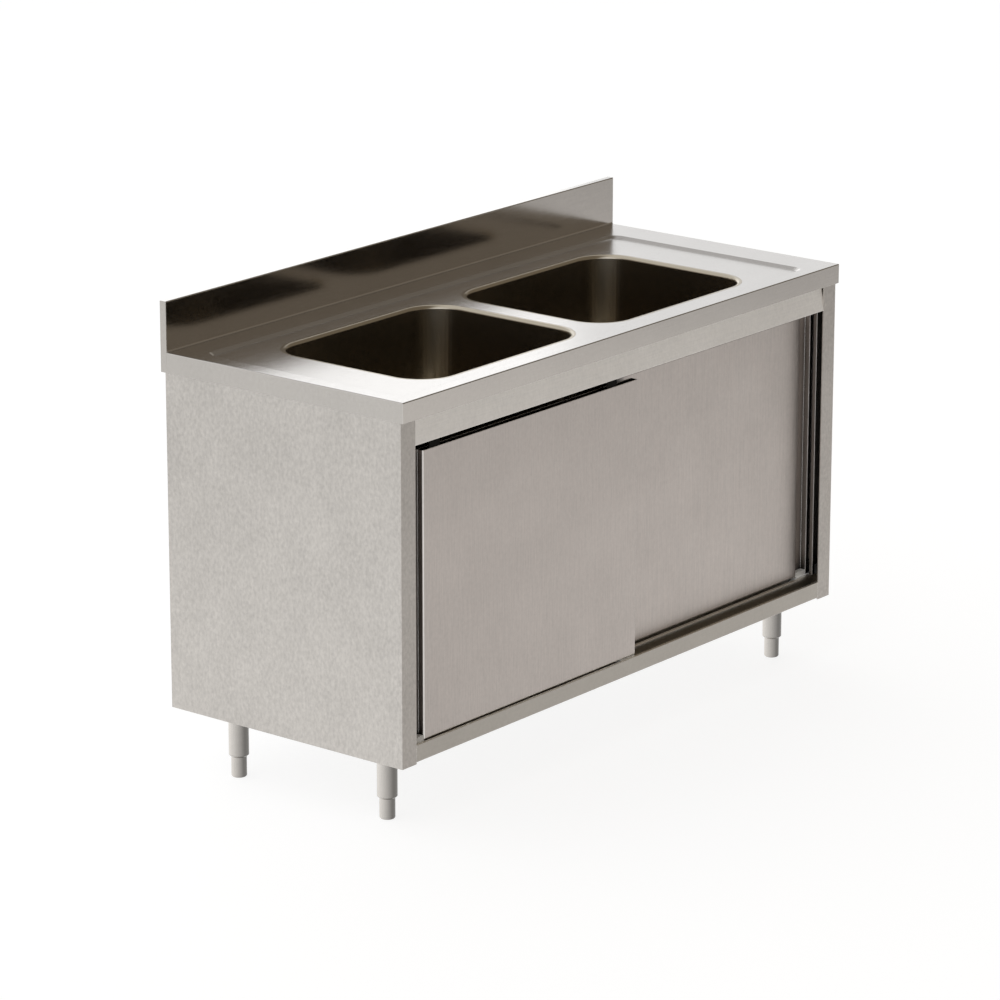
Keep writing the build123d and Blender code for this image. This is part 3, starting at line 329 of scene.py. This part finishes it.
# Floor and world: white where the camera and the metal look, with the object's shadow kept on the floor
def white_share(tree):
    """1 for a ray that looks or mirrors, 0 for a ray that only carries light."""
    path = tree.nodes.new("ShaderNodeLightPath")
    first = tree.nodes.new("ShaderNodeMath")
    first.operation = "MAXIMUM"
    link(tree, path, "Is Camera Ray", first, 0)
    link(tree, path, "Is Glossy Ray", first, 1)
    both = tree.nodes.new("ShaderNodeMath")
    both.operation = "MAXIMUM"
    link(tree, first, "Value", both, 0)
    link(tree, path, "Is Transmission Ray", both, 1)
    return both


FLOOR_HALF = 12.0
FLOOR_COLOUR = 0.25
FLOOR_GLOW = 0.84
# The floor fades from white to grey outside the camera's view, right and a little left of the object: painted
# shade on the floor's colour and glow, which the metal mirrors
FLOOR_ACROSS = (0.624, -0.781, 0)
FLOOR_FADES = [(2.6, 4.2, 1, 0.64), (-1.8, -3.6, 1, 0.86)]
floor_mesh = bpy.data.meshes.new("floor")
floor_corners = [(x * FLOOR_HALF, y * FLOOR_HALF, 0) for x, y in ((-1, -1), (1, -1), (1, 1), (-1, 1))]
floor_mesh.from_pydata(floor_corners, [], [(0, 1, 2, 3)])
floor = bpy.data.objects.new("floor", floor_mesh)
scene.collection.objects.link(floor)
floor_material, floor_tree, floor_shader = new_tree("pale_floor")
place = floor_tree.nodes.new("ShaderNodeNewGeometry")
across = floor_tree.nodes.new("ShaderNodeVectorMath")
across.operation = "DOT_PRODUCT"
across.inputs[1].default_value = FLOOR_ACROSS
link(floor_tree, place, "Position", across, 0)
floor_fade = floor_tree.nodes.new("ShaderNodeMath")
floor_fade.operation = "MULTIPLY"
for slot, limits in enumerate(FLOOR_FADES):
    side_fade = remap(floor_tree, across, "Value", *limits)
    side_fade.interpolation_type = "SMOOTHSTEP"
    link(floor_tree, side_fade, "Result", floor_fade, slot)
floor_tint = floor_tree.nodes.new("ShaderNodeVectorMath")
floor_tint.operation = "SCALE"
floor_tint.inputs[0].default_value = (FLOOR_COLOUR, FLOOR_COLOUR, FLOOR_COLOUR)
link(floor_tree, floor_fade, "Value", floor_tint, "Scale")
link(floor_tree, floor_tint, "Vector", floor_shader, "Base Color")
floor_shader.inputs["Roughness"].default_value = 0.9
floor_shader.inputs["Specular IOR Level"].default_value = 0.0
floor_shader.inputs["Emission Color"].default_value = (1, 1, 1, 1)
floor_glow = remap(floor_tree, white_share(floor_tree), "Value", 0, 1, 0, FLOOR_GLOW)
floor_light = floor_tree.nodes.new("ShaderNodeMath")
floor_light.operation = "MULTIPLY"
link(floor_tree, floor_glow, "Result", floor_light, 0)
link(floor_tree, floor_fade, "Value", floor_light, 1)
link(floor_tree, floor_light, "Value", floor_shader, "Emission Strength")
floor_mesh.materials.append(floor_material)

BACKDROP = (1, 1, 1, 1)
ROOM_DIM = (0.27, 0.235, 0.19, 1)
ROOM_TOWARDS = Vector((0.55, -0.75, 0.35)).normalized()
world = bpy.data.worlds.new("studio")
scene.world = world
world.use_nodes = True
world_tree = world.node_tree
background = world_tree.nodes["Background"]
direction = world_tree.nodes.new("ShaderNodeTexCoord")
towards_room = world_tree.nodes.new("ShaderNodeVectorMath")
towards_room.operation = "DOT_PRODUCT"
towards_room.inputs[1].default_value = ROOM_TOWARDS
link(world_tree, direction, "Generated", towards_room, 0)
fade = remap(world_tree, towards_room, "Value", 0.15, 0.60, 0, 1)
fade.interpolation_type = "SMOOTHSTEP"
sky = world_tree.nodes.new("ShaderNodeMix")
sky.data_type = "RGBA"
sky.inputs[6].default_value = BACKDROP
sky.inputs[7].default_value = ROOM_DIM
link(world_tree, fade, "Result", sky, "Factor")
world_tree.links.new(sky.outputs[2], background.inputs["Color"])
background.inputs["Strength"].default_value = 1.0


def area(name, place, aim, size, power):
    data = bpy.data.lights.new(name, "AREA")
    data.shape = "RECTANGLE"
    data.size, data.size_y = size
    data.energy = power
    lamp = bpy.data.objects.new(name, data)
    scene.collection.objects.link(lamp)
    lamp.location = place
    lamp.rotation_euler = (Vector(aim) - Vector(place)).to_track_quat("-Z", "Y").to_euler()


# The worktop mirrors this lamp, which stands behind the object on its right
KEY_PLACE = (2.6, 3.3, 1.75)
KEY_AIM = (-0.3, 0, 0.85)
KEY_SIZE = (2.3, 1.7)
KEY_POWER = 7.0
area("key", KEY_PLACE, KEY_AIM, KEY_SIZE, KEY_POWER)

scene.view_settings.view_transform = "Standard"
